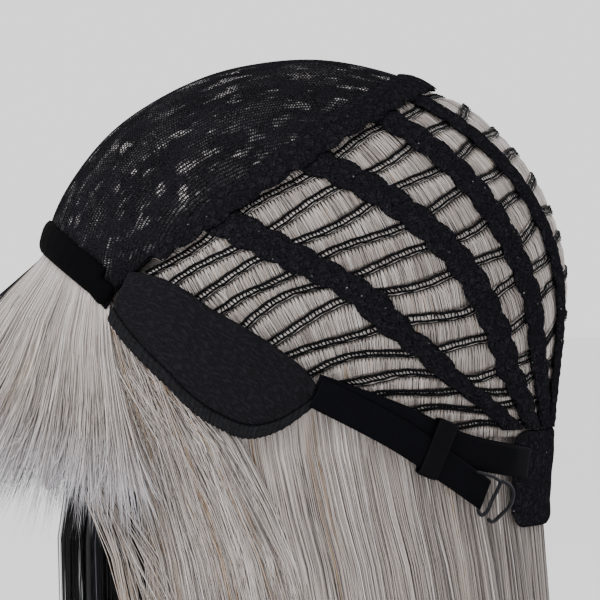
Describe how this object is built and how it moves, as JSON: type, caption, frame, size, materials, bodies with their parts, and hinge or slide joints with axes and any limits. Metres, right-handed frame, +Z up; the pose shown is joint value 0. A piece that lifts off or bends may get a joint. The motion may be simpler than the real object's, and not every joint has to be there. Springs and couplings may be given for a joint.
{
  "type": "straight wig with bangs, turned inside out",
  "caption": "Long straight two-tone wig with bangs, turned inside out so that its lace and weft cap, ear tabs and adjuster straps show.",
  "frame": {"origin": "head seat: the inside top of the hollow, where the crown of a head carries the wig", "axes": "+Z up, -Y toward the forehead and bangs, +X toward the wearer's left ear and the silver hair"},
  "size_m": [0.1586, 0.2693, 0.4177],
  "materials": {
    "lace": "matt floral stretch lace",
    "hem_cloth": "matt brushed cloth",
    "weft_thread": "stitched thread tracks",
    "tab_cloth": "finely ribbed padded cloth",
    "satin_binding": "smooth satin binding",
    "strap_elastic": "smooth elastic",
    "keeper_ribbon": "satin ribbon",
    "hook_plastic": "glossy dark plastic",
    "silver_hair": "straight synthetic fibre, silver blond with tan streaks",
    "black_hair": "straight synthetic fibre, glossy black"
  },
  "bodies": {
    "root": {"front_lace_panel": "lace", "forehead_band": "hem_cloth", "crown_seam_band": "lace", "nape_lace_panel": "lace", "weft_row_01": "weft_thread", "weft_row_02": "weft_thread", "weft_row_03": "weft_thread", "weft_row_04": "weft_thread", "weft_row_05": "weft_thread", "weft_row_06": "weft_thread", "weft_row_07": "weft_thread", "weft_row_08": "weft_thread", "weft_row_09": "weft_thread", "weft_row_10": "weft_thread", "weft_row_11": "weft_thread", "weft_row_12": "weft_thread", "lace_band_left_1": "lace", "lace_band_left_2": "lace", "lace_band_left_3": "lace", "lace_band_left_4": "lace", "ear_tab_left": "tab_cloth", "ear_tab_binding_left": "satin_binding", "base_strap_left": "strap_elastic", "adjuster_strap_left": "strap_elastic", "strap_keeper_left": "keeper_ribbon", "adjuster_hook_left": "hook_plastic", "hair_left": "silver_hair", "bangs_left": "silver_hair", "lace_band_right_1": "lace", "lace_band_right_2": "lace", "lace_band_right_3": "lace", "lace_band_right_4": "lace", "ear_tab_right": "tab_cloth", "ear_tab_binding_right": "satin_binding", "base_strap_right": "strap_elastic", "adjuster_strap_right": "strap_elastic", "strap_keeper_right": "keeper_ribbon", "adjuster_hook_right": "hook_plastic", "hair_right": "black_hair", "bangs_right": "black_hair"}
  },
  "joints": []
}
